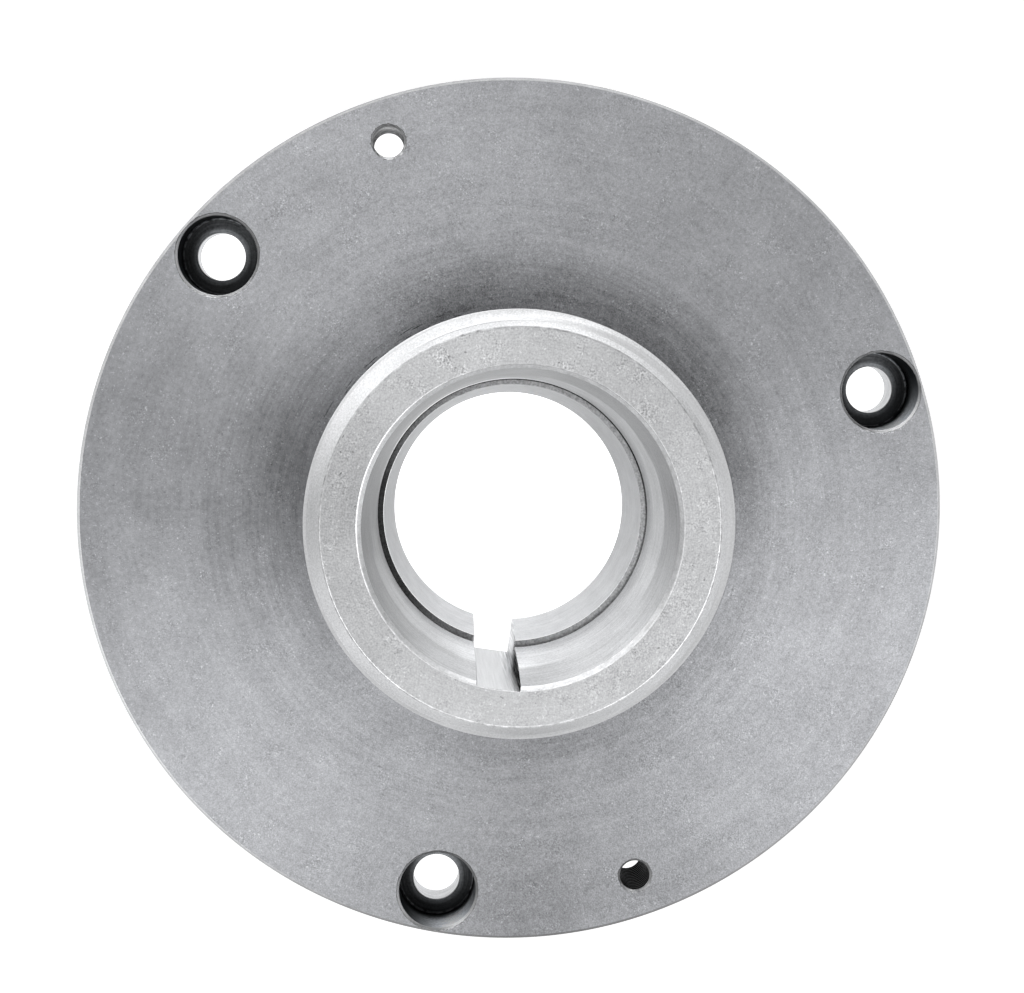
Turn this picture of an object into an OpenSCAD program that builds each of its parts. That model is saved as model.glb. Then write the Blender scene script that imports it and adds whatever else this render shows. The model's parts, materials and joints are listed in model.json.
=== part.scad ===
// Adapter plate that carries a 200 mm lathe chuck on a key-drive long-taper
// spindle nose. One turned steel piece: a flange with a register spigot behind
// it, and a hub in front with a tapered bore, a keyway and an outside thread
// for the spindle's ring nut. Millimetres, +Z towards the hub. The origin is on
// the axis, in the plane of the spigot's end face, which the plate rests on.

/* [Flange] */
// Diameter of the flange
flange_d = 200; // [150:0.5:250]
// Thickness of the flange between its two faces
flange_t = 19; // [16:0.5:26]
// Width of the chamfer on both rims of the flange
rim_chamfer = 0.6; // [0.2:0.1:2]

/* [Register spigot] */
// Width of the seat round the spigot, on which the chuck's rim bears
seat_w = 17.5; // [16:0.1:25]
// Height of the spigot behind the flange
register_h = 4.8; // [3:0.1:6]
// Width of the chamfer that leads the spigot in
register_chamfer = 0.8; // [0.3:0.1:1.2]

/* [Hub] */
// Outside diameter of the hub, over the thread
hub_d = 95.25; // [90:0.05:110]
// Height of the hub above the flange
hub_h = 27; // [22:0.5:40]
// Width of the lead chamfer across the hub's end face
lead_chamfer_w = 3.8; // [2.6:0.1:4.6]
// Height of the lead chamfer down the hub's side
lead_chamfer_h = 4.4; // [3:0.1:6]

/* [Ring nut thread] */
// Pitch of the thread, here six to the inch
thread_pitch = 4.2333; // [3.175:0.0001:5.08]
// Direction in which the thread opens on the lead chamfer, in degrees from +X
thread_start = 116; // [0:1:359]
// Width of the run-out groove at the foot of the thread
runout_w = 4.5; // [3:0.1:7]
// Depth of the run-out groove below the thread's root
runout_depth = 0.2; // [0.1:0.05:0.6]

/* [Tapered bore] */
// Diameter of the taper at the hub's end face
taper_d = 69.85; // [64:0.05:74]
// Taper rate: what the diameter loses in each unit of depth
taper_rate = 0.29167; // [0.27:0.00001:0.3]
// Width of the chamfer at the mouth of the bore
mouth_chamfer = 0.8; // [0.4:0.1:1.2]
// Depth at which the front bearing land ends
front_land = 13.5; // [10:0.5:18]
// Depth at which the clearance cone behind that land ends
clearance_end = 31.6; // [28:0.2:34]
// Diameter of the clearance cone at its deep end
clearance_d = 63; // [61.5:0.1:64]
// Width of the groove between the clearance cone and the rear land
groove_w = 1.5; // [1:0.1:2.5]
// Depth of that groove beyond the clearance cone
groove_depth = 1.2; // [0.6:0.1:2]

/* [Keyway] */
// Width of the keyway
key_w = 9.525; // [6:0.025:14]
// Distance of the keyway's floor from the axis
key_floor = 35.6; // [34.5:0.1:38]

/* [Chuck screws] */
// Distance of every hole's axis from the flange's rim
bolt_edge = 10; // [9.6:0.1:11.9]
// Number of screws that hold the chuck
bolt_count = 3; // [3:1:4]
// Diameter of the clearance hole for a screw
bolt_d = 11; // [9:0.1:13]
// Diameter of the counterbore for the screw's head
head_d = 18; // [15:0.1:18.6]
// Depth of the counterbore
head_depth = 11.5; // [8:0.1:13]
// Width of the chamfer at the mouth of the counterbore
head_chamfer = 0.6; // [0.2:0.1:0.8]
// Turn of the first screw from the keyway, in degrees
bolt_turn = -3.35; // [-12:0.05:12]

/* [Jacking screws] */
// Core diameter of the tapped holes for the screws that push the chuck off
jack_d = 7; // [5:0.1:8.4]
// Width of the chamfer at the mouth of a jacking hole
jack_chamfer = 0.55; // [0.2:0.05:1]
// Number of jacking holes, spaced evenly round the circle of holes
jack_count = 2; // [1:1:2]
// Turn of the first jacking hole from the first chuck screw, in degrees
jack_turn = 30; // [20:1:40]

/* [Hidden] */

// Round surfaces are drawn with this many sides in the viewer
fine = 180;
// Cutters run this far past the surfaces that they open
over = 1;

flange_back = register_h;
flange_front = flange_back + flange_t;
hub_top = flange_front + hub_h;
hub_r = hub_d / 2;
register_r = flange_d / 2 - seat_w;
bolt_circle_r = flange_d / 2 - bolt_edge;

// Radius of the taper at a depth below the hub's end face
function taper_r(depth) = (taper_d - depth * taper_rate) / 2;

// Basic sizes of a 60 degree thread from its pitch
thread_depth = 0.6134 * thread_pitch;
root_r = hub_r - thread_depth;
root_w = thread_pitch / 6;
flank_slope = tan(30);
// The cutter stops where its neighbouring turns would meet
cutter_r = hub_r + thread_pitch / 12;
steps_per_turn = 48;

// Height at which the thread's root comes out of the lead chamfer
root_clear = root_r - (hub_r - lead_chamfer_w);
thread_open = hub_top - root_clear * lead_chamfer_h / lead_chamfer_w;
// The cutter starts this much of a turn before the thread opens
lead_in = 0.33;
thread_turns = lead_in + (thread_open - flange_front - runout_w / 2) / thread_pitch;

keyway_angle = -90;
first_bolt = keyway_angle + bolt_turn;

// A disc from height z0 to z1 with a chamfer on each rim
module chamfered_disc(r, z0, z1, low_chamfer, high_chamfer) {
    rotate_extrude($fn = fine)
        polygon([
            [0, z0], [r - low_chamfer, z0], [r, z0 + low_chamfer],
            [r, z1 - high_chamfer], [r - high_chamfer, z1], [0, z1]
        ]);
}

module register_spigot() {
    chamfered_disc(register_r, 0, flange_back + over, register_chamfer, 0);
}

module flange() {
    chamfered_disc(flange_d / 2, flange_back, flange_front, rim_chamfer, rim_chamfer);
}

// The hub's outside before threading, with the run-out groove at its foot
module hub() {
    neck_r = root_r - runout_depth;
    neck_top = flange_front + runout_w;
    rotate_extrude($fn = fine)
        polygon([
            [0, flange_back], [neck_r, flange_back], [neck_r, neck_top - thread_depth / 2],
            [hub_r, neck_top + thread_depth / 2], [hub_r, hub_top - lead_chamfer_h],
            [hub_r - lead_chamfer_w, hub_top], [0, hub_top]
        ]);
}

// The space inside the bore, as one turned section
module bore() {
    rear_land = clearance_end + groove_w;
    clearance_r = clearance_d / 2;
    groove_r = clearance_r + groove_depth;
    rotate_extrude($fn = fine)
        polygon([
            [0, hub_top + over],
            [taper_r(0) + mouth_chamfer + over, hub_top + over],
            [taper_r(0) + mouth_chamfer, hub_top],
            [taper_r(mouth_chamfer), hub_top - mouth_chamfer],
            [taper_r(front_land), hub_top - front_land],
            [clearance_r, hub_top - clearance_end],
            [groove_r, hub_top - clearance_end],
            [groove_r, hub_top - rear_land],
            [taper_r(rear_land), hub_top - rear_land],
            [taper_r(hub_top - mouth_chamfer), mouth_chamfer],
            [taper_r(hub_top - mouth_chamfer) + mouth_chamfer + over, -over],
            [0, -over]
        ]);
}

// A straight slot through the whole bore, with its floor parallel to the axis
module keyway() {
    rotate([0, 0, keyway_angle])
        translate([0, -key_w / 2, -over])
            cube([key_floor, key_w, hub_top + 2 * over]);
}

// Sets its children at an angle on the circle of holes
module on_circle(angle) {
    rotate([0, 0, angle]) translate([bolt_circle_r, 0, 0]) children();
}

// A round cutter from above the flange, widened by a chamfer at the face
module chamfered_hole(d, bottom, chamfer) {
    rotate_extrude($fn = fine)
        polygon([
            [0, bottom], [d / 2, bottom], [d / 2, flange_front - chamfer],
            [d / 2 + chamfer + over, flange_front + over], [0, flange_front + over]
        ]);
}

module screw_hole() {
    translate([0, 0, flange_back - over]) cylinder(d = bolt_d, h = flange_t + over, $fn = fine);
    chamfered_hole(head_d, flange_front - head_depth, head_chamfer);
}

module jack_hole() {
    chamfered_hole(jack_d, flange_back - over, jack_chamfer);
}

module flange_holes() {
    for (i = [0:bolt_count - 1])
        on_circle(first_bolt + i * 360 / bolt_count) screw_hole();
    for (i = [0:jack_count - 1])
        on_circle(first_bolt + jack_turn + i * 360 / jack_count) jack_hole();
}

// One corner of the thread cutter: its radius and height above the root line
function cutter_corner(side, outer) =
    let (r = outer ? cutter_r : root_r)
    [r, side * (root_w / 2 + (r - root_r) * flank_slope)];

// The V groove between the threads, swept down a right-hand helix
module thread_groove() {
    corners = [
        cutter_corner(-1, true), cutter_corner(-1, false),
        cutter_corner(1, false), cutter_corner(1, true)
    ];
    n = len(corners);
    steps = ceil(thread_turns * steps_per_turn);
    points = [
        for (i = [0:steps])
            let (turn = lead_in - i / steps_per_turn, a = thread_start + 360 * turn)
            for (c = corners)
                [c[0] * cos(a), c[0] * sin(a), thread_open + turn * thread_pitch + c[1]]
    ];
    sides = [
        for (i = [0:steps - 1], k = [0:n - 1])
            let (a = i * n + k, b = i * n + (k + 1) % n)
            each [[a, b, b + n], [a, b + n, a + n]]
    ];
    top_cap = [for (k = [n - 1:-1:0]) k];
    low_cap = [for (k = [0:n - 1]) steps * n + k];
    polyhedron(points, concat(sides, [top_cap, low_cap]), convexity = 10);
}

module adapter_plate() {
    color("silver")
        difference() {
            union() {
                register_spigot();
                flange();
                hub();
            }
            bore();
            keyway();
            flange_holes();
            thread_groove();
        }
}

adapter_plate();
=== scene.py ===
"""Looks of the chuck adapter plate: one turned steel piece, seen from above on a pale floor.

The piece is lathed from its section, then the keyway, the holes and the
threads are cut from it. Sizes are in millimetres, like the CAD model's, and
angles are degrees from +X towards +Y. The materials measure in millimetres
too, from the plate's own coordinates.
"""

import json
import math
import random
from functools import partial

import bmesh
import bpy
from mathutils import Matrix, Vector


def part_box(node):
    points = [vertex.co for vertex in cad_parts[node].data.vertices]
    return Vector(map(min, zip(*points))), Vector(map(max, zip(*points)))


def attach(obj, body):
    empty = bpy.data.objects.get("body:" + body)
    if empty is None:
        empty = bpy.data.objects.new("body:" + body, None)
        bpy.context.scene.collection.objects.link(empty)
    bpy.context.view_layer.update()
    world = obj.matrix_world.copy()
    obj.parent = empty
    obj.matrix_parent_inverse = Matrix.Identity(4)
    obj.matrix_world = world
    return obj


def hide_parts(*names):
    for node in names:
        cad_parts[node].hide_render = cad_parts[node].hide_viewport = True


MM = 0.001
NODE = "adapter_plate"

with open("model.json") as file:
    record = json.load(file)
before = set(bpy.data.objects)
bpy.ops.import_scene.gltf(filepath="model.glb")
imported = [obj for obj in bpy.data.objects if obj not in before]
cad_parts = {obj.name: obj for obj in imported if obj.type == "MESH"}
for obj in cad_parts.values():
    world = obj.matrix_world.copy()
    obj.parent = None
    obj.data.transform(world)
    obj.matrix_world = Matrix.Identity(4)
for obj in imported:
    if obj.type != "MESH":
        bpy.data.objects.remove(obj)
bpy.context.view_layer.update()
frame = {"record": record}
mounts = {m["name"]: m for m in frame["record"]["mounts"]}
_, node_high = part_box(NODE)

# Sizes that the frame gives
FLANGE_R = node_high.x / MM
HUB_TOP = node_high.z / MM
BACK = mounts["chuck_seat"]["pos_m"][2] / MM
REGISTER_R = mounts["chuck_register"]["dims"]["r_mm"]
SCREWS = mounts["chuck_screws"]["dims"]
JACKS = mounts["jacking_screws"]["dims"]
CIRCLE_R = SCREWS["pcd_mm"] / 2

# Sizes that the frame's record doesn't hold, as the CAD model has them
FRONT = BACK + 19
RIM_CHAMFER = 0.6
REGISTER_CHAMFER = 0.8
HUB_R = 95.25 / 2
LEAD_W, LEAD_H = 3.8, 4.4
PITCH = 4.2333
THREAD_DEPTH = 0.6134 * PITCH
ROOT_R = HUB_R - THREAD_DEPTH
THREAD_START = 116
RUNOUT_W, RUNOUT_DEPTH = 4.5, 0.2
TAPER_R, TAPER_SLOPE = 69.85 / 2, 0.29167 / 2
MOUTH_CHAMFER = 0.8
FRONT_LAND = 13.5
CLEARANCE_END, CLEARANCE_R = 31.6, 31.5
GROOVE_W, GROOVE_DEPTH = 1.5, 1.2
REAR_LAND = CLEARANCE_END + GROOVE_W
GROOVE_R = CLEARANCE_R + GROOVE_DEPTH
KEY_W, KEY_FLOOR, KEY_ANGLE = 9.525, 35.6, -90
HEAD_R, HEAD_DEPTH, HEAD_CHAMFER = 9, 11.5, 0.6
HEAD_FLOOR = FRONT - HEAD_DEPTH
JACK_CHAMFER = 0.55
FIRST_SCREW = -93.35
JACK_TURN = 30

# The angle of the first hole of each kind, and how many stand evenly on the circle
SCREW_HOLES = (FIRST_SCREW, SCREWS["count"])
JACK_HOLES = (FIRST_SCREW + JACK_TURN, JACKS["count"])

# Slope of the flanks of a 60 degree thread
FLANK_SLOPE = math.tan(math.radians(30))
# The ring nut's thread is cut from this much of a turn before it opens on the chamfer
LEAD_IN = 0.33

# The M8 thread in the jacking holes, and how far it is turned from hole to hole
JACK_PITCH = 1.25
JACK_THREAD_R = 4
JACK_THREAD_TURN = 70

# Breaks on edges, which catch the light, and the share of a side that one may take
BREAK = 0.12
FINE_BREAK = 0.07
WIDE_BREAK = 0.2
HUB_BREAK = 0.28
BREAK_SHARE = 0.4
# Fillets in the plate's inner corners, and at the hub's foot
FILLET = 0.3
FOOT_FILLET = 0.4
# Breaks at the back end of the holes, and round a counterbore's floor
SCREW_BACK_BREAK = 0.3
JACK_BACK_BREAK = 0.5
SEAT_BREAK = 0.15
FLOOR_CORNER = 0.25
# Flare of the keyway's cutter where it breaks the corners with the bore
KEY_FLARE = 0.3

# The broken strip round a hole's rim, how ragged the rims are, and in how many waves
BURR_W, BURR_H = 0.12, 0.1
SCREW_RAGGED, JACK_RAGGED = 0.16, 0.3
RIM_WAVES = (2, 3, 5, 9, 14)
# Seeds of the jacking holes' rims start here, and those of the screw holes' at 0
JACK_SEED = 10

# Cutters run this far past the surfaces that they open
OVER = 1
# A hole's rim is ragged from this far above the flange's face
RAGGED_ABOVE = 0.01
# Parts two levels of a cutter that would coincide, and shorter edges are dissolved
TINY = 0.001

# Sides of turned surfaces, and steps in a turn of a thread
BODY_SIDES = 360
HOLE_SIDES = 96
THREAD_STEPS = 180
JACK_STEPS = 48

# Faces that meet at more than this many degrees keep a hard edge in the shading
HARD_EDGE = 24

# The finishes of the plate's surfaces, in the order of its material slots, with
# each one's base tone and roughness
FINISHES = {
    "face": (0.29, 0.42),
    "hub_end": (0.4, 0.4),
    "lead_chamfer": (0.57, 0.36),
    "thread": (0.53, 0.38),
    "mouth": (0.55, 0.34),
    "bore": (0.25, 0.45),
    "groove": (0.5, 0.5),
    "rear_land": (0.47, 0.36),
    "rim": (0.4, 0.4),
    "rim_chamfer": (0.28, 0.42),
    "back": (0.38, 0.4),
    "keyway": (0.56, 0.35),
    # The counterbores and the tapped holes have near-black tones: painted shade inside them
    "counterbore": (0.013, 0.4),
    "drilled": (0.5, 0.36),
    "screw_chamfer": (0.28, 0.38),
    "screw_burr": (0.12, 0.35),
    "tapped": (0.012, 0.4),
    "jack_chamfer": (0.3, 0.4),
    "jack_burr": (0.12, 0.35),
    "edge": (0.38, 0.34),
}
SLOT = {name: i for i, name in enumerate(FINISHES)}

# Tones of the bore's clearance cone, and the darkest tone of the painted shade in its groove
CLEARANCE_TONE = 0.39
GROOVE_PAINTED_SHADE_LIMIT = 0.04

# Shares of red, green and blue in a tone, and in what a surface mirrors at a grazing angle
STEEL_TINT = (0.988, 0.996, 1.012)
FACE_TINT = (0.975, 0.99, 1.03)
# The bluish tint of the counterbores' painted shade
PAINTED_SHADE_TINT = (0.96, 1.0, 1.05)
MIRROR_TINT = (0.99, 0.995, 1.0)

# Anisotropy of the flange's face and of the finer turned surfaces
COARSE_TURNED = 0.6
FINE_TURNED = 0.3

# Round marks have their stated length at this radius, and count this share of the
# height as going across them
MARKS_R = 45
MARKS_RISE = 0.9

# A noise node's values that are mapped to -1 and 1, and how softly a spot begins
NOISE_RANGE = (0.25, 0.75)
SPOT_EDGE = 0.25


def taper_r(depth):
    """Radius of the spindle taper at a depth below the hub's end face."""
    return TAPER_R - depth * TAPER_SLOPE


def polar(r, angle, z=0.0):
    """A point at a radius, an angle in degrees and a height."""
    a = math.radians(angle)
    return r * math.cos(a), r * math.sin(a), z


def broken(outline):
    """Breaks each corner of a closed outline of (radius, height, break, finish).

    The outline runs with the steel on its left, and a finish holds from its
    point to the next. Corners that stand out get the finish of an edge, or the
    rim's own.
    """
    result = []
    count = len(outline)
    for i, (r, z, size, finish) in enumerate(outline):
        here = Vector((r, z))
        if size == 0:
            result.append((r, z, finish))
            continue
        back = Vector(outline[i - 1][:2]) - here
        ahead = Vector(outline[(i + 1) % count][:2]) - here
        size = min(size, BREAK_SHARE * back.length, BREAK_SHARE * ahead.length)
        start = here + back.normalized() * size
        end = here + ahead.normalized() * size
        stands_out = back.x * ahead.y - back.y * ahead.x < 0
        worn = "rim_chamfer" if finish in ("rim", "rim_chamfer", "face") else "edge"
        for s in (0, 1 / 3, 2 / 3):
            p = start.lerp(here, s).lerp(here.lerp(end, s), s)
            result.append((p.x, p.y, worn if stands_out else finish))
        result.append((end.x, end.y, finish))
    return result


def new_object(name, bm):
    """An object that holds a bmesh, in millimetres."""
    bmesh.ops.recalc_face_normals(bm, faces=bm.faces)
    mesh = bpy.data.meshes.new(name)
    bm.to_mesh(mesh)
    bm.free()
    piece = bpy.data.objects.new(name, mesh)
    bpy.context.scene.collection.objects.link(piece)
    return piece


def ragged(seed, sides, amount):
    """Small offsets round a rim: slow waves with a few chips, the same on each run."""
    draw = random.Random(seed)
    waves = [(n, draw.uniform(0, 2 * math.pi), draw.uniform(0.3, 1)) for n in RIM_WAVES]
    result = []
    for j in range(sides):
        a = 2 * math.pi * j / sides
        wave = sum(size * math.sin(n * a + phase) for n, phase, size in waves) / len(waves)
        # The high power leaves only a few of the chips large
        chip = draw.random() ** 6
        result.append(amount * (wave + chip))
    return result


def lathe(name, outline, sides, centre=(0, 0), offsets=None):
    """Turns a closed outline of (radius, height, finish) about an upright axis.

    Offsets, one for each side, widen what stands above the flange's face.
    """
    bm = bmesh.new()
    rings = []
    for r, z, _ in outline:
        if r == 0:
            rings.append([bm.verts.new((centre[0], centre[1], z))] * sides)
            continue
        ring = []
        for j in range(sides):
            wide = r + (offsets[j] if offsets and z > FRONT else 0)
            x, y, _ = polar(wide, 360 * j / sides)
            ring.append(bm.verts.new((centre[0] + x, centre[1] + y, z)))
        rings.append(ring)
    for i, (_, _, finish) in enumerate(outline):
        this, following = rings[i], rings[(i + 1) % len(rings)]
        for j in range(sides):
            k = (j + 1) % sides
            corners = list(dict.fromkeys((this[j], this[k], following[k], following[j])))
            if len(corners) > 2:
                bm.faces.new(corners).material_index = SLOT[finish]
    return new_object(name, bm)


def loft(name, sections, finish):
    """Skins a row of closed sections with the same number of points, and caps both ends."""
    bm = bmesh.new()
    rings = [[bm.verts.new(p) for p in section] for section in sections]
    count = len(rings[0])
    for this, following in zip(rings, rings[1:]):
        for j in range(count):
            k = (j + 1) % count
            bm.faces.new((this[j], this[k], following[k], following[j]))
    bm.faces.new(rings[0])
    bm.faces.new(rings[-1])
    for face in bm.faces:
        face.material_index = SLOT[finish]
    return new_object(name, bm)


def helix(name, half_section, centre, start_angle, start_z, turns, pitch, steps, finish):
    """Sweeps a section, given by its (radius, half width) points, down a right-hand helix."""
    section = [(r, -w) for r, w in half_section] + [(r, w) for r, w in reversed(half_section)]
    rings = []
    for i in range(math.ceil(turns * steps) + 1):
        turn = i / steps
        ring = []
        for r, w in section:
            x, y, z = polar(r, start_angle - 360 * turn, start_z - pitch * turn + w)
            ring.append((centre[0] + x, centre[1] + y, z))
        rings.append(ring)
    return loft(name, rings, finish)


# The bore's wall from its mouth down: depth, radius, corner break and finish of what follows
BORE_WALL = [
    (0, TAPER_R + MOUTH_CHAMFER, WIDE_BREAK, "mouth"),
    (MOUTH_CHAMFER, taper_r(MOUTH_CHAMFER), FINE_BREAK, "bore"),
    (FRONT_LAND, taper_r(FRONT_LAND), 0, "bore"),
    (CLEARANCE_END, CLEARANCE_R, 0, "groove"),
    (CLEARANCE_END, GROOVE_R, WIDE_BREAK, "groove"),
    (REAR_LAND, GROOVE_R, WIDE_BREAK, "groove"),
    (REAR_LAND, taper_r(REAR_LAND), BREAK, "rear_land"),
    (HUB_TOP - MOUTH_CHAMFER, taper_r(HUB_TOP - MOUTH_CHAMFER), FINE_BREAK, "mouth"),
    (HUB_TOP, taper_r(HUB_TOP - MOUTH_CHAMFER) + MOUTH_CHAMFER, FINE_BREAK, "back"),
]


def turned_body():
    """The plate as it comes off the lathe, before any hole is cut."""
    neck_r = ROOT_R - RUNOUT_DEPTH
    neck_top = FRONT + RUNOUT_W
    outside = [
        (REGISTER_R - REGISTER_CHAMFER, 0, BREAK, "back"),
        (REGISTER_R, REGISTER_CHAMFER, BREAK, "back"),
        (REGISTER_R, BACK, FILLET, "back"),
        (FLANGE_R - RIM_CHAMFER, BACK, BREAK, "rim_chamfer"),
        (FLANGE_R, BACK + RIM_CHAMFER, BREAK, "rim"),
        (FLANGE_R, FRONT - RIM_CHAMFER, BREAK, "rim_chamfer"),
        (FLANGE_R - RIM_CHAMFER, FRONT, BREAK, "face"),
        (neck_r, FRONT, FOOT_FILLET, "thread"),
        (neck_r, neck_top - THREAD_DEPTH / 2, FILLET, "thread"),
        (HUB_R, neck_top + THREAD_DEPTH / 2, BREAK, "thread"),
        (HUB_R, HUB_TOP - LEAD_H, FINE_BREAK, "lead_chamfer"),
        (HUB_R - LEAD_W, HUB_TOP, HUB_BREAK, "hub_end"),
    ]
    wall = [(r, HUB_TOP - depth, size, finish) for depth, r, size, finish in BORE_WALL]
    return lathe("turned_plate", broken(outside + wall), BODY_SIDES)


def thread_cutter():
    """The V groove between the ring nut's threads, which opens on the lead chamfer."""
    clear = ROOT_R - (HUB_R - LEAD_W)
    opening = HUB_TOP - clear * LEAD_H / LEAD_W
    # The root is a sixth of the pitch wide
    root_half = PITCH / 12
    crest_half = root_half + (THREAD_DEPTH - BREAK) * FLANK_SLOPE
    flare = 2 * BREAK
    # From the flared crest down a flank and round the corner of the root
    half_section = [
        (HUB_R - BREAK + flare, crest_half + flare),
        (HUB_R - BREAK, crest_half),
        (ROOT_R + 0.3, root_half + 0.3 * FLANK_SLOPE),
        (ROOT_R + 0.08, root_half - 0.06),
        (ROOT_R, root_half - 0.25),
    ]
    return helix(
        "thread_cutter",
        half_section,
        centre=(0, 0),
        start_angle=THREAD_START + 360 * LEAD_IN,
        start_z=opening + LEAD_IN * PITCH,
        turns=LEAD_IN + (opening - FRONT - RUNOUT_W / 2) / PITCH,
        pitch=PITCH,
        steps=THREAD_STEPS,
        finish="thread",
    )


def keyway_cutter():
    """The slot through the bore. Its corners with the bore's wall are broken."""
    half = KEY_W / 2
    levels = [(HUB_TOP + OVER, TAPER_R + MOUTH_CHAMFER + OVER)]
    levels += [(HUB_TOP - depth, r) for depth, r, _, _ in BORE_WALL]
    levels.append((-OVER, levels[-1][1] + OVER))
    # The sections are drawn with the keyway towards -Y
    turn = Matrix.Rotation(math.radians(KEY_ANGLE + 90), 3, "Z")
    sections = []
    for i, (z, r) in enumerate(levels):
        if i and levels[i - 1][0] == z:
            z -= TINY
        corner = -math.sqrt(r * r - half * half)
        right = [
            (half, -KEY_FLOOR),
            (half, corner - BREAK),
            (half + KEY_FLARE, corner - BREAK + KEY_FLARE),
            (half + KEY_FLARE, 0),
        ]
        outline = right + [(-x, y) for x, y in reversed(right)]
        sections.append([turn @ Vector((x, y, z)) for x, y in outline])
    return loft("keyway_cutter", sections, "keyway")


def hole_centre(holes, i):
    """Where one of the holes of a kind stands on their circle."""
    first, count = holes
    return polar(CIRCLE_R, first + i * 360 / count)[:2]


def rim_outline(rim, burr):
    """The upper end of a hole's cutter: the broken strip at its rim, and the space above."""
    return [
        (rim - BURR_W, FRONT - BURR_H, burr),
        (rim, FRONT + RAGGED_ABOVE, burr),
        (rim, FRONT + OVER, "face"),
        (0, FRONT + OVER, "face"),
    ]


def screw_cutter(i):
    """A clearance hole with a counterbore for the screw's head."""
    r = SCREWS["hole_r_mm"]
    outline = [
        (0, BACK - OVER, "drilled"),
        (r + SCREW_BACK_BREAK + OVER, BACK - OVER, "screw_chamfer"),
        (r, BACK + SCREW_BACK_BREAK, "drilled"),
        (r, HEAD_FLOOR - SEAT_BREAK, "screw_chamfer"),
        (r + SEAT_BREAK, HEAD_FLOOR, "counterbore"),
        (HEAD_R - FLOOR_CORNER, HEAD_FLOOR, "counterbore"),
        (HEAD_R, HEAD_FLOOR + FLOOR_CORNER, "counterbore"),
        (HEAD_R, FRONT - HEAD_CHAMFER, "screw_chamfer"),
    ]
    outline += rim_outline(HEAD_R + HEAD_CHAMFER, "screw_burr")
    offsets = ragged(i, HOLE_SIDES, SCREW_RAGGED)
    return lathe("screw_cutter", outline, HOLE_SIDES, hole_centre(SCREW_HOLES, i), offsets)


def jack_cutter(i):
    """The core of a tapped hole, chamfered at both ends."""
    r = JACKS["hole_r_mm"]
    outline = [
        (0, BACK - OVER, "tapped"),
        (r + JACK_BACK_BREAK + OVER, BACK - OVER, "jack_chamfer"),
        (r, BACK + JACK_BACK_BREAK, "tapped"),
        (r, FRONT - JACK_CHAMFER, "jack_chamfer"),
    ]
    outline += rim_outline(r + JACK_CHAMFER, "jack_burr")
    offsets = ragged(JACK_SEED + i, HOLE_SIDES, JACK_RAGGED)
    return lathe("jack_cutter", outline, HOLE_SIDES, hole_centre(JACK_HOLES, i), offsets)


def tap_cutter(i):
    """The thread in a tapped hole, cut from a little inside the core."""
    core = JACKS["hole_r_mm"]
    # The root is an eighth of the pitch wide
    root_half = JACK_PITCH / 16
    core_half = root_half + (JACK_THREAD_R - core) * FLANK_SLOPE
    half_section = [(core - 0.1, core_half), (core, core_half), (JACK_THREAD_R, root_half)]
    start_z = FRONT - JACK_CHAMFER - JACK_PITCH / 2
    return helix(
        "tap_cutter",
        half_section,
        centre=hole_centre(JACK_HOLES, i),
        start_angle=JACK_THREAD_TURN * i,
        start_z=start_z,
        turns=(start_z - BACK + JACK_PITCH) / JACK_PITCH,
        pitch=JACK_PITCH,
        steps=JACK_STEPS,
        finish="tapped",
    )


def cut(piece, cutter):
    """Takes one closed shape away from another and deletes it."""
    tool = piece.modifiers.new("cut", "BOOLEAN")
    tool.operation = "DIFFERENCE"
    tool.solver = "MANIFOLD"
    tool.object = cutter
    graph = bpy.context.evaluated_depsgraph_get()
    mesh = bpy.data.meshes.new_from_object(piece.evaluated_get(graph))
    piece.modifiers.remove(tool)
    piece.data = mesh
    bpy.data.objects.remove(cutter)


def smooth(piece):
    """Smooth shading, with hard edges between faces that meet sharply."""
    bm = bmesh.new()
    bm.from_mesh(piece.data)
    bmesh.ops.dissolve_degenerate(bm, dist=TINY, edges=bm.edges)
    limit = math.radians(HARD_EDGE)
    for edge in bm.edges:
        edge.smooth = len(edge.link_faces) == 2 and edge.calc_face_angle(0) < limit
    for face in bm.faces:
        face.smooth = True
    bm.to_mesh(piece.data)
    bm.free()


def build_plate(materials):
    """The whole plate in metres, with one material slot for each finish."""
    plate = turned_body()
    cutters = [keyway_cutter()]
    cutters += [screw_cutter(i) for i in range(SCREWS["count"])]
    for i in range(JACKS["count"]):
        cutters += [jack_cutter(i), tap_cutter(i)]
    cutters.append(thread_cutter())
    for piece in [plate] + cutters:
        for material in materials:
            piece.data.materials.append(material)
    for cutter in cutters:
        cut(plate, cutter)
    smooth(plate)
    plate.data.transform(Matrix.Scale(MM, 4))
    weigh = plate.modifiers.new("weigh", "WEIGHTED_NORMAL")
    weigh.keep_sharp = True
    return plate


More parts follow.
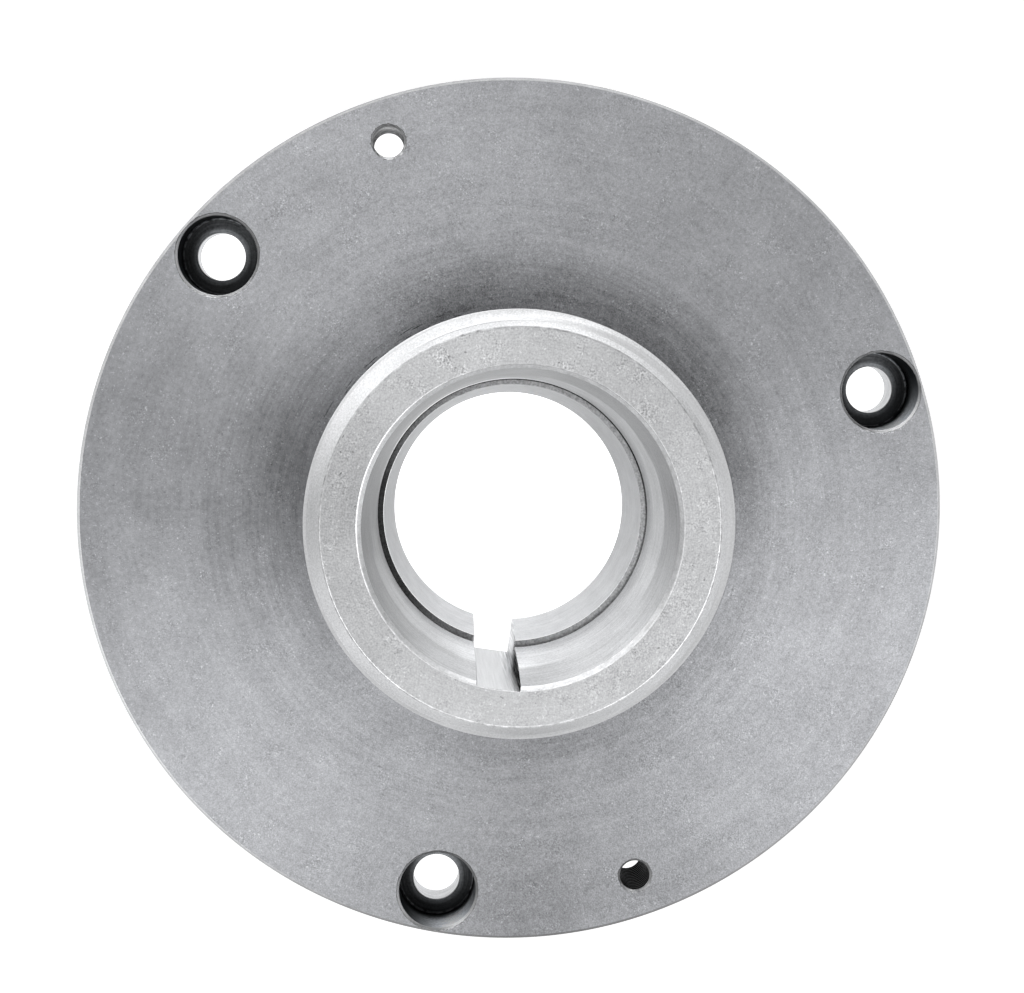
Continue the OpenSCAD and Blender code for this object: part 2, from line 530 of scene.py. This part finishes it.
class Finish:
    """A steel material whose nodes are written as formulas in millimetres."""

    def __init__(self, name, anisotropy=0.0, grazing=1.0):
        self.tone, self.roughness = FINISHES[name]
        self.material = bpy.data.materials.new(name)
        self.material.use_nodes = True
        self.tree = self.material.node_tree
        self.shader = self.tree.nodes["Principled BSDF"]
        self.shader.inputs["Metallic"].default_value = 1
        self.shader.inputs["Roughness"].default_value = self.roughness
        self.shader.inputs["Anisotropic"].default_value = anisotropy
        mirrored = [share * grazing for share in MIRROR_TINT]
        self.shader.inputs["Specular Tint"].default_value = mirrored + [1]
        if anisotropy:
            tangent = self.add("Tangent", direction_type="RADIAL", axis="Z")
            self.join(tangent.outputs[0], self.shader.inputs["Tangent"])
            # Turning marks run round the axis and spread the light across themselves
            self.shader.inputs["Anisotropic Rotation"].default_value = 0.25
        place = {"Vector": self.add("TexCoord").outputs["Object"], "Scale": 1 / MM}
        self.place = self.add("VectorMath", place, operation="SCALE").outputs[0]
        parts = self.add("SeparateXYZ", {"Vector": self.place}).outputs
        self.z = parts["Z"]
        self.measure_from(parts["X"], parts["Y"])

    def measure_from(self, x, y):
        """Takes x and y as the distances from the upright axis that round marks follow."""
        self.x, self.y = x, y
        self.r = self.math("SQRT", self.total(self.product(x, x), self.product(y, y)))
        self.cos = self.math("DIVIDE", x, self.r)
        self.sin = self.math("DIVIDE", y, self.r)

    def measure_from_holes(self, first, count):
        """Measures from the nearest of the holes that stand evenly on their circle."""
        step = 2 * math.pi / count
        start = math.radians(first)
        angle = self.total(self.math("ARCTAN2", self.y, self.x), -start)
        steps = self.math("ROUND", self.product(angle, 1 / step))
        nearest = self.total(self.product(steps, step), start)
        x = self.total(self.x, self.product(self.math("COSINE", nearest), -CIRCLE_R))
        y = self.total(self.y, self.product(self.math("SINE", nearest), -CIRCLE_R))
        self.measure_from(x, y)

    def add(self, kind, values=None, **settings):
        """A new node with its settings, and values or links for its inputs by name."""
        node = self.tree.nodes.new("ShaderNode" + kind)
        for name, value in settings.items():
            setattr(node, name, value)
        for name, value in (values or {}).items():
            self.join(value, node.inputs[name])
        return node

    def join(self, value, socket):
        """Links an output to an input, or sets a plain value on it."""
        if isinstance(value, bpy.types.NodeSocket):
            self.tree.links.new(value, socket)
        else:
            socket.default_value = value

    def math(self, operation, *values):
        """The result of one math node."""
        node = self.add("Math", operation=operation)
        for value, socket in zip(values, node.inputs):
            self.join(value, socket)
        return node.outputs[0]

    def product(self, *values):
        """All the values multiplied."""
        result = values[0]
        for value in values[1:]:
            result = self.math("MULTIPLY", result, value)
        return result

    def total(self, *values):
        """The sum of all the values."""
        result = values[0]
        for value in values[1:]:
            result = self.math("ADD", result, value)
        return result

    def less(self, value):
        """What is left of 1 without a value."""
        return self.total(1.0, self.product(value, -1))

    def map_range(self, value, start, end, low, high, **settings):
        """Maps the values from start to end to those from low to high."""
        values = {"Value": value, "From Min": start, "From Max": end}
        values.update({"To Min": low, "To Max": high})
        return self.add("MapRange", values, **settings).outputs[0]

    def ramp(self, value, start, end, low=0.0, high=1.0):
        """Goes softly from low to high as the value goes from start to end."""
        return self.map_range(value, start, end, low, high, interpolation_type="SMOOTHSTEP")

    def scale(self, value, start, end, low, high):
        """Maps start and end straight to low and high, and goes on beyond them."""
        return self.map_range(value, start, end, low, high, clamp=False)

    def noise(self, size, detail=2.0, place=None, seed=0.0):
        """Noise about 0, mostly within -1 and 1, with features of a size in millimetres."""
        values = {"Vector": place or self.place, "Scale": 1 / size}
        values.update({"Detail": detail, "W": seed})
        noise = self.add("TexNoise", values, noise_dimensions="4D").outputs["Fac"]
        return self.scale(noise, *NOISE_RANGE, -1, 1)

    def rings(self, width, length, detail=2.0, seed=0.0):
        """Noise drawn out round the axis, with marks of a width and a length."""
        reach = MARKS_R / length
        across = self.total(self.r, self.product(self.z, MARKS_RISE))
        values = {
            "X": self.product(self.cos, reach),
            "Y": self.product(self.sin, reach),
            "Z": self.product(across, 1 / width),
        }
        place = self.add("CombineXYZ", values).outputs[0]
        return self.noise(1, detail, place, seed)

    def fan(self, angle, half_width):
        """A soft sector round the axis: 1 at an angle, a half at half_width from it."""
        x, y, _ = polar(1, angle)
        along = self.total(self.product(self.cos, x), self.product(self.sin, y))
        sharpness = math.log(0.5) / math.log((1 + math.cos(math.radians(half_width))) / 2)
        return self.math("POWER", self.scale(along, -1, 1, 0, 1), sharpness)

    def fans(self, *sectors):
        """Several fans, each given as its angle, its half width and its strength."""
        return [self.product(self.fan(angle, width), much) for angle, width, much in sectors]

    def spots(self, size, level, seed):
        """Sparse spots where a noise passes a level: 1 inside a spot and 0 elsewhere."""
        return self.ramp(self.noise(size, 0.0, seed=seed), level, level + SPOT_EDGE)

    def paint(self, tone, tint=STEEL_TINT):
        """Sets the base colour to a tone, slightly cool as plain steel is."""
        colour = self.add("CombineColor")
        for name, share in zip(("Red", "Green", "Blue"), tint):
            self.join(self.product(tone, share), colour.inputs[name])
        self.join(colour.outputs[0], self.shader.inputs["Base Color"])

    def bump(self, height, depth):
        """Raises the surface by a height from -1 to 1, times a depth in millimetres."""
        node = self.add("Bump", {"Height": height, "Distance": depth * MM, "Strength": 1.0})
        self.join(node.outputs[0], self.shader.inputs["Normal"])


def face_finish(name):
    """The flange's face: coarse grain, slow clouds and marks, with painted shade near the hub
    and in sectors round it.
    """
    f = Finish(name, anisotropy=COARSE_TURNED)
    grain = f.noise(0.32, 3.0)
    speckle = f.noise(0.9, 1.0, seed=3)
    clouds = f.total(f.noise(26, 3.0, seed=7), f.noise(9, 2.0, seed=27))
    inner = f.ramp(f.r, 92, 54)
    marks = f.product(f.rings(0.45, 9, seed=1), f.total(0.35, f.product(inner, 0.5)))
    scuffs = f.product(f.rings(2.2, 26, seed=12), inner)
    foot = f.ramp(f.r, 66, 49)
    wide_foot = f.ramp(f.r, 84, 52)
    # Painted shade round the hub's foot, strongest on two sides
    foot_painted_shade = f.total(0.06, *f.fans((58, 45, 0.3), (112, 28, 0.12)))
    near_edge = f.ramp(f.r, 72, 98)
    # Painted shade in sectors round the axis, near the hub, and at the rim on one side
    painted_shade_sectors = f.total(
        *f.fans((31, 24, 0.15), (62, 30, 0.06), (300, 26, 0.08)),
        f.product(f.fan(113, 14), wide_foot, 0.18),
        f.product(f.fan(181, 24), f.total(0.2, f.product(wide_foot, 0.2))),
        f.product(f.fan(279, 11), near_edge, 0.2),
    )
    calm = f.total(*f.fans((183, 32, 0.19), (42, 32, 0.1)))
    scratched = f.product(f.ramp(f.r, 50.2, 49), f.fan(133, 24), 0.7)
    patches = f.ramp(f.noise(6, 2.0, seed=25), 0.0, 0.8)
    grain_depth = f.total(0.26, f.product(patches, 0.16), f.product(calm, -1))
    shade = f.total(
        1.0,
        f.product(grain, grain_depth),
        f.product(speckle, 0.1),
        f.product(clouds, 0.07),
        f.product(f.rings(4, 40, seed=51), 0.05),
        f.product(marks, 0.1),
        f.product(scuffs, 0.08),
        f.product(f.spots(0.4, 0.8, 5), f.total(0.25, f.product(patches, 0.3))),
        f.product(f.spots(0.4, 0.9, 15), -0.15),
        f.product(f.ramp(f.rings(0.3, 5, detail=1.0, seed=45), 0.4, 0.7), scratched, -1),
        f.product(foot, foot_painted_shade, -1),
        f.product(painted_shade_sectors, -1),
    )
    f.measure_from_holes(*SCREW_HOLES)
    rim = HEAD_R + HEAD_CHAMFER
    near_rim = f.product(f.ramp(f.r, rim - 0.1, rim + 0.1), f.ramp(f.r, rim + 0.7, rim + 0.3))
    # Burrs at the counterbores' rims, with painted glints on one side only
    burr_painted_glints = f.product(near_rim, f.fan(290, 40), f.spots(0.3, 0.5, 33))
    f.paint(f.total(f.product(shade, f.tone), f.product(burr_painted_glints, 0.22)), FACE_TINT)
    f.bump(f.total(grain, f.product(marks, 0.6)), 0.012)
    return f.material


def turned_finish(name, grain=0.06, marks=0.08, width=0.35, length=14):
    """A turned surface with ring marks and a little grain."""
    f = Finish(name, anisotropy=FINE_TURNED)
    fine = f.noise(0.4, 1.5)
    turning = f.rings(width, length, seed=2)
    clouds = f.noise(14, 2.0, seed=4)
    shade = f.total(
        1.0,
        f.product(fine, grain),
        f.product(turning, marks),
        f.product(clouds, 0.05),
    )
    f.paint(f.product(shade, f.tone))
    f.bump(f.total(fine, turning), 0.006)
    return f.material


def lead_finish(name):
    """The lead chamfer, turned in streaks, with painted shade on two sides and painted
    highlights on others.
    """
    f = Finish(name, anisotropy=FINE_TURNED)
    fine = f.noise(0.4, 1.5)
    streaks = f.rings(0.5, 30, seed=2)
    bands = f.rings(0.9, 60, detail=1.0, seed=52)
    outer = f.ramp(f.r, 45.6, 47.2)
    # Painted shade and painted highlights in sectors round the chamfer
    painted_shade_sectors = f.fans((190, 14, -0.2), (282, 26, -0.19), (103, 24, -0.06))
    lit = f.fans((228, 22, 0.06), (335, 24, 0.05), (74, 14, 0.14))
    tone = f.total(f.tone, *painted_shade_sectors, f.product(f.fan(282, 40), outer, 0.15), *lit)
    marks = f.total(f.product(fine, 0.2), f.product(streaks, 0.3), f.product(bands, 0.2))
    f.paint(f.product(tone, f.total(1.0, marks)))
    f.bump(f.total(fine, streaks), 0.006)
    return f.material


def hub_end_finish(name):
    """The hub's end face: lighter, with coarse grain, faint stains, a few pits, and painted
    light and shade in sectors.
    """
    f = Finish(name, anisotropy=FINE_TURNED)
    grain = f.noise(0.42, 2.0)
    speckle = f.noise(1.1, 1.0, seed=8)
    stains = f.noise(7, 3.0, seed=9)
    rough = f.ramp(f.noise(5, 2.0, seed=29), -0.1, 0.8)
    coarse = f.fan(113, 50)
    rough_depth = f.product(rough, f.total(0.2, f.product(coarse, 0.34)))
    grain_depth = f.total(0.18, f.product(coarse, 0.08), rough_depth)
    marks = f.rings(0.35, 7, seed=6)
    scratches = f.ramp(f.rings(0.22, 4, detail=1.0, seed=16), 0.95, 1.2)
    pits = f.spots(0.8, 1.2, 11)
    shade = f.total(
        1.0,
        f.product(grain, grain_depth),
        f.product(speckle, f.total(0.06, f.product(rough, 0.12))),
        f.product(stains, 0.06),
        f.product(marks, 0.07),
        f.product(scratches, 0.15),
        f.product(pits, -0.4),
        f.product(f.spots(0.5, 0.9, 13), 0.3),
        # Painted shade and painted light in sectors round the axis
        *f.fans((177, 22, -0.22), (222, 20, -0.16), (53, 22, -0.1)),
        *f.fans((108, 30, 0.07), (347, 30, -0.18)),
    )
    f.paint(f.product(shade, f.tone))
    f.bump(f.total(grain, f.product(pits, -2)), 0.01)
    return f.material


def bore_finish(name):
    """The taper's front land and the clearance behind it, which meet along an uneven line,
    with painted light and shade in sectors and painted light above the groove.
    """
    f = Finish(name, anisotropy=FINE_TURNED, grazing=0.85)
    fine = f.noise(0.45, 2.0)
    turning = f.rings(0.4, 18, seed=2)
    wander = f.noise(8, 2.0, seed=21)
    depth = f.total(f.product(f.z, -1), HUB_TOP, f.product(wander, 0.9))
    # Painted light and painted shade in sectors round the bore's wall
    land = f.total(
        f.tone,
        *f.fans((285, 38, 0.64), (285, 20, -0.33), (110, 38, 0.04)),
        *f.fans((332, 18, 0.1), (188, 18, -0.06)),
    )
    clear = f.total(
        CLEARANCE_TONE,
        *f.fans((285, 52, 0.25), (270, 20, 0.21), (182, 24, -0.2)),
        *f.fans((108, 30, -0.06), (338, 20, 0.07)),
    )
    behind = f.ramp(depth, FRONT_LAND - 0.7, FRONT_LAND + 0.9)
    wall = f.total(land, f.product(behind, f.total(clear, f.product(land, -1))))
    above_groove = f.ramp(depth, CLEARANCE_END - 9, CLEARANCE_END - 1)
    # Painted light above the groove, mostly on one side
    painted_light_above_groove = f.product(above_groove, f.total(0.03, *f.fans((132, 36, 0.8))))
    shade = f.total(
        1.0,
        f.product(fine, 0.16),
        f.product(turning, 0.17),
        f.product(wander, 0.12),
    )
    f.paint(f.product(f.total(wall, painted_light_above_groove), shade))
    roughness = f.total(f.roughness, f.product(above_groove, 0.3))
    f.join(roughness, f.shader.inputs["Roughness"])
    f.bump(f.total(fine, turning), 0.006)
    return f.material


def mouth_finish(name):
    """The chamfer at the bore's mouth, with painted light and painted shade in sectors round
    it.
    """
    f = Finish(name, anisotropy=FINE_TURNED)
    fine = f.noise(0.45, 2.0)
    chatter = f.noise(1.6, 2.0, seed=19)
    # Painted light and painted shade in sectors round the chamfer
    tone = f.total(
        f.tone,
        *f.fans((258, 24, 0.16), (213, 24, -0.12), (355, 20, -0.12)),
        *f.fans((300, 22, 0.05), (175, 22, 0.2)),
    )
    f.paint(f.product(tone, f.total(1.0, f.product(fine, 0.15), f.product(chatter, 0.14))))
    f.bump(f.total(fine, chatter), 0.01)
    return f.material


def rim_chamfer_finish(name):
    """The rim's chamfer, with painted shade on one side and painted highlights on two others.
    """
    f = Finish(name, anisotropy=FINE_TURNED)
    fine = f.noise(0.45, 2.0)
    chatter = f.noise(4, 2.0, seed=23)
    # Painted shade on one side and painted highlights on two others
    tone = f.total(f.tone, *f.fans((278, 30, -0.16), (25, 60, 0.2), (208, 40, 0.35)))
    f.paint(f.product(tone, f.total(1.0, f.product(fine, 0.14), f.product(chatter, 0.1))))
    f.bump(fine, 0.008)
    return f.material


def edge_finish(name):
    """Broken edges, worn bright here and there, with painted highlights in sectors."""
    f = Finish(name)
    fine = f.noise(0.4, 2.0)
    wear = f.noise(1.3, 3.0, seed=37)
    # The edges of the bore and the keyway lie inside this radius
    outer = f.ramp(f.r, 40, 41)
    inner = f.less(outer)
    inner_left = f.product(inner, f.fan(173, 26))
    lower = f.ramp(f.z, HUB_TOP - 2, HUB_TOP - 3)
    # Painted highlights in sectors, more on the bore's and keyway's edges and on the deeper
    # ones, and a little painted shade on one side of the bore's edges
    tone = f.total(
        f.tone,
        *f.fans((290, 62, 0.22)),
        f.product(inner, 0.06),
        f.product(inner_left, 0.36),
        f.product(inner, f.fan(45, 30), -0.1),
        f.product(lower, f.fan(270, 60), 0.6),
    )
    wear_depth = f.total(0.3, f.product(outer, 0.15), f.product(inner_left, -0.2))
    worn = f.product(wear, wear_depth)
    f.paint(f.product(tone, f.total(1.0, f.product(fine, 0.15), worn)))
    f.bump(fine, 0.01)
    return f.material


def groove_finish(name):
    """The groove in the bore, with painted shade near black on one side and darker on another,
    speckled elsewhere.
    """
    f = Finish(name)
    grain = f.noise(0.5, 2.0)
    # Painted shadow under the groove's upper lip, and painted shade near black on one side
    inside = f.ramp(f.r, CLEARANCE_R - 0.35, CLEARANCE_R - 0.1)
    shadow = f.product(inside, f.fan(68, 85), -0.45)
    shade = f.total(f.tone, *f.fans((206, 58, -0.48), (98, 60, -0.2)), shadow)
    groove_tone = f.math("MAXIMUM", shade, GROOVE_PAINTED_SHADE_LIMIT)
    f.paint(f.product(groove_tone, f.total(1.0, f.product(grain, 0.45))))
    f.bump(grain, 0.02)
    return f.material


def rear_land_finish(name):
    """The taper's rear land: smooth, with painted light on one side and a little on the other.
    """
    f = Finish(name, anisotropy=FINE_TURNED, grazing=0.5)
    fine = f.noise(0.45, 1.5)
    turning = f.rings(0.35, 16, seed=2)
    stains = f.noise(3, 3.0, seed=14)
    # Painted light on two sides of the land
    tone = f.total(f.tone, *f.fans((273, 52, 0.3), (123, 40, 0.1)))
    shade = f.total(
        1.0,
        f.product(fine, 0.07),
        f.product(turning, 0.1),
        f.product(stains, 0.08),
    )
    f.paint(f.product(shade, tone))
    f.bump(f.total(fine, turning), 0.005)
    return f.material


def keyway_finish(name):
    """The keyway, with the broach's marks along it and painted shade high on its right wall.
    """
    f = Finish(name)
    # Where the wall's painted shade lies, the surface isn't metal and mirrors nothing
    f.shader.inputs["Specular IOR Level"].default_value = 0
    values = {"X": f.product(f.x, 3.0), "Y": f.product(f.y, 3.0), "Z": f.product(f.z, 0.07)}
    lines = f.noise(1, 2.0, f.add("CombineXYZ", values).outputs[0])
    fine = f.noise(0.5, 2.0)
    # Painted shade on the right wall, near black from partway up towards the hub's end
    wall = f.ramp(f.x, KEY_W / 2 - 0.06, KEY_W / 2)
    painted_wall_shade = f.product(wall, f.ramp(f.z, 12, 28, 0, 0.92))
    scored = f.ramp(f.x, 1.5, 4.4, 0.1, 0.7)
    shade = f.total(f.less(painted_wall_shade), f.product(lines, scored), f.product(fine, 0.05))
    f.paint(f.product(shade, f.tone))
    f.join(f.less(painted_wall_shade), f.shader.inputs["Metallic"])
    f.bump(lines, 0.006)
    return f.material


def counterbore_finish(name):
    """A counterbore: painted near black for the shade inside it, its floor ringed, with
    painted light on its floor and on one side of its wall.
    """
    f = Finish(name, grazing=0.3)
    f.measure_from_holes(*SCREW_HOLES)
    grain = f.noise(0.5, 2.0)
    rings = f.rings(0.35, 40, detail=1.0, seed=5)
    on_wall = f.ramp(f.z, HEAD_FLOOR + 0.2, HEAD_FLOOR + 0.5)
    # Painted light on one side of the wall, growing towards its mouth
    side = f.total(0.04, *f.fans((303, 36, 0.95)))
    wall = f.product(on_wall, f.ramp(f.z, HEAD_FLOOR + 0.5, HEAD_FLOOR + 5), side)
    # Painted light on the floor: round the through hole and on one side, with a ragged painted
    # highlight at its corner
    upper = f.fan(80, 55)
    inner = f.product(f.ramp(f.r, 7, 5.7, 0, 0.09), f.total(0.4, upper))
    ragged_line = f.ramp(f.noise(1.2, 1.0, seed=31), -0.7, 0.3)
    corner = f.product(f.ramp(f.r, 8.5, 8.7), ragged_line, f.total(0.25, upper), 0.18)
    floor = f.total(inner, f.product(upper, 0.05), corner)
    floor_painted_light = f.product(f.less(on_wall), floor)
    shade = f.total(1.0, f.product(grain, 0.3), f.product(rings, 0.3))
    f.paint(f.product(f.total(f.tone, floor_painted_light, wall), shade), PAINTED_SHADE_TINT)
    f.bump(f.total(grain, rings), 0.01)
    return f.material


def hole_finish(name, holes, marks, lit=(), grazing=1.0):
    """A wall or chamfer of the holes on the circle, with marks round each hole.

    Each of lit gives the angle, the half width and the added tone of a side with painted
    light.
    """
    f = Finish(name, grazing=grazing)
    f.measure_from_holes(*holes)
    fine = f.noise(0.35, 2.0)
    rings = f.rings(0.3, 60, seed=18)
    shade = f.total(1.0, f.product(fine, 0.15), f.product(rings, marks))
    f.paint(f.product(shade, f.total(f.tone, *f.fans(*lit))))
    f.bump(f.total(fine, rings), 0.01)
    return f.material


def burr_finish(name, holes):
    """The broken rim of a hole: dark, with painted glints on one side."""
    f = Finish(name)
    f.measure_from_holes(*holes)
    # Painted glints on one side of each rim
    glints = f.product(f.fan(278, 50), f.ramp(f.noise(0.8, 2.0, seed=41), -0.5, 0.7))
    f.paint(f.total(f.tone, f.product(glints, 0.5)))
    f.bump(f.noise(0.4, 2.0), 0.02)
    return f.material


def finish_materials():
    """The materials in the order of the slots."""
    # Painted light on one side of the holes' walls and chamfers: angle, half width and added
    # tone
    screw_lit = [(190, 45, 0.2), (300, 35, 0.14)]
    tap_lit = [(98, 50, 0.5)]
    jack_lit = [(278, 40, 0.15)]
    makers = {
        "face": face_finish,
        "hub_end": hub_end_finish,
        "lead_chamfer": lead_finish,
        "thread": partial(turned_finish, grain=0.12, marks=0.12),
        "mouth": mouth_finish,
        "bore": bore_finish,
        "groove": groove_finish,
        "rear_land": rear_land_finish,
        "rim": turned_finish,
        "rim_chamfer": rim_chamfer_finish,
        "back": partial(turned_finish, grain=0.14, marks=0.12, width=0.5, length=20),
        "keyway": keyway_finish,
        "counterbore": counterbore_finish,
        "drilled": partial(hole_finish, holes=SCREW_HOLES, marks=0.4),
        "screw_chamfer": partial(hole_finish, holes=SCREW_HOLES, marks=0.35, lit=screw_lit),
        "screw_burr": partial(burr_finish, holes=SCREW_HOLES),
        "tapped": partial(hole_finish, holes=JACK_HOLES, marks=0.8, lit=tap_lit, grazing=0.5),
        "jack_chamfer": partial(hole_finish, holes=JACK_HOLES, marks=0.4, lit=jack_lit),
        "jack_burr": partial(burr_finish, holes=JACK_HOLES),
        "edge": edge_finish,
    }
    return [makers[name](name) for name in FINISHES]


plate = build_plate(finish_materials())
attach(plate, "root")
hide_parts(NODE)


# The photograph's camera, found from the rim, the hub and the holes
CAMERA_AT = (-32.35, 42.11, 466.7)
CAMERA_TURN = (-0.081, -0.059, math.radians(8.2))
FOCAL_PX = 1930.2
IMAGE_W, IMAGE_H = 1024, 993
AXIS_PX = (514.8, 471.4)

# Light on the floor under the plate and beyond it, as seen and mirrored
FLOOR_LIGHT_UNDER, FLOOR_LIGHT_BEYOND = 1.0, 0.5
WORLD_DIFFUSE = 0.45
# Half the floor's width, and how far it lies below the plate
FLOOR_REACH = 4000
FLOOR_DROP = 0.02


def add_camera():
    """The photograph's camera."""
    data = bpy.data.cameras.new("camera")
    camera = bpy.data.objects.new("camera", data)
    bpy.context.scene.collection.objects.link(camera)
    camera.location = Vector(CAMERA_AT) * MM
    camera.rotation_euler = CAMERA_TURN
    data.sensor_width = 36
    data.lens = FOCAL_PX * data.sensor_width / IMAGE_W
    data.shift_x = (IMAGE_W / 2 - AXIS_PX[0]) / IMAGE_W
    data.shift_y = (AXIS_PX[1] - IMAGE_H / 2) / IMAGE_W
    data.clip_start = 0.01
    bpy.context.scene.camera = camera


def area_light(name, direction, elevation, distance, width, height, radiance):
    """A soft rectangular light, in metres, that faces the middle of the plate."""
    data = bpy.data.lights.new(name, "AREA")
    data.shape = "RECTANGLE"
    data.size = width
    data.size_y = height
    data.energy = radiance * math.pi * width * height
    light = bpy.data.objects.new(name, data)
    bpy.context.scene.collection.objects.link(light)
    e = math.radians(elevation)
    place = Vector(polar(math.cos(e), direction, math.sin(e)))
    light.location = place * distance + Vector((0, 0, HUB_TOP * MM))
    light.rotation_euler = place.to_track_quat("Z", "Y").to_euler()


def seen_or_mirrored(tree):
    """1 for rays from the camera, a glossy surface or a clear one, and 0 for soft light."""
    rays = tree.nodes.new("ShaderNodeLightPath").outputs
    result = rays["Is Camera Ray"]
    for name in ("Is Glossy Ray", "Is Transmission Ray"):
        larger = tree.nodes.new("ShaderNodeMath")
        larger.operation = "MAXIMUM"
        tree.links.new(result, larger.inputs[0])
        tree.links.new(rays[name], larger.inputs[1])
        result = larger.outputs[0]
    return result


def add_world():
    """White where it is seen or mirrored, and a softer grey as a light."""
    world = bpy.data.worlds.new("world")
    bpy.context.scene.world = world
    world.use_nodes = True
    tree = world.node_tree
    background = tree.nodes["Background"]
    background.inputs["Color"].default_value = (1, 1, 1, 1)
    strength = tree.nodes.new("ShaderNodeMapRange")
    strength.inputs["To Min"].default_value = WORLD_DIFFUSE
    strength.inputs["To Max"].default_value = 1.0
    tree.links.new(seen_or_mirrored(tree), strength.inputs["Value"])
    tree.links.new(strength.outputs[0], background.inputs["Strength"])


def add_floor():
    """A wide pale floor that shows white, with the plate's soft shadow on it."""
    bm = bmesh.new()
    bmesh.ops.create_grid(bm, x_segments=1, y_segments=1, size=FLOOR_REACH)
    bmesh.ops.translate(bm, verts=bm.verts, vec=(0, 0, -FLOOR_DROP))
    ground = new_object("floor", bm)
    ground.data.transform(Matrix.Scale(MM, 4))
    material = bpy.data.materials.new("floor")
    material.use_nodes = True
    tree = material.node_tree
    shader = tree.nodes["Principled BSDF"]
    shader.inputs["Base Color"].default_value = (0.8, 0.8, 0.8, 1)
    shader.inputs["Roughness"].default_value = 1
    shader.inputs["Specular IOR Level"].default_value = 0
    shader.inputs["Emission Color"].default_value = (1, 1, 1, 1)
    place = tree.nodes.new("ShaderNodeTexCoord")
    length = tree.nodes.new("ShaderNodeVectorMath")
    length.operation = "LENGTH"
    tree.links.new(place.outputs["Object"], length.inputs[0])
    # The light changes just inside the plate's rim, where the plate covers the floor
    fade = tree.nodes.new("ShaderNodeMapRange")
    fade.inputs["From Min"].default_value = (FLANGE_R - 4) * MM
    fade.inputs["From Max"].default_value = (FLANGE_R - 1) * MM
    fade.inputs["To Min"].default_value = FLOOR_LIGHT_UNDER
    fade.inputs["To Max"].default_value = FLOOR_LIGHT_BEYOND
    tree.links.new(length.outputs["Value"], fade.inputs["Value"])
    strength = tree.nodes.new("ShaderNodeMath")
    strength.operation = "MULTIPLY"
    tree.links.new(seen_or_mirrored(tree), strength.inputs[0])
    tree.links.new(fade.outputs[0], strength.inputs[1])
    tree.links.new(strength.outputs[0], shader.inputs["Emission Strength"])
    ground.data.materials.append(material)


# Direction, elevation, distance, width, height and radiance of each light
LIGHTS = {
    "low_strip": (118, 9, 0.42, 0.95, 0.14, 2.35),
    "right_box": (-25, 60, 1.2, 0.55, 0.35, 4.4),
    "left_box": (238, 60, 1.2, 0.6, 0.35, 3.8),
    "back_box": (124, 60, 1.2, 0.6, 0.35, 2),
}

add_camera()
add_world()
add_floor()
for light_name, settings in LIGHTS.items():
    area_light(light_name, *settings)
bpy.context.scene.view_settings.view_transform = "Standard"
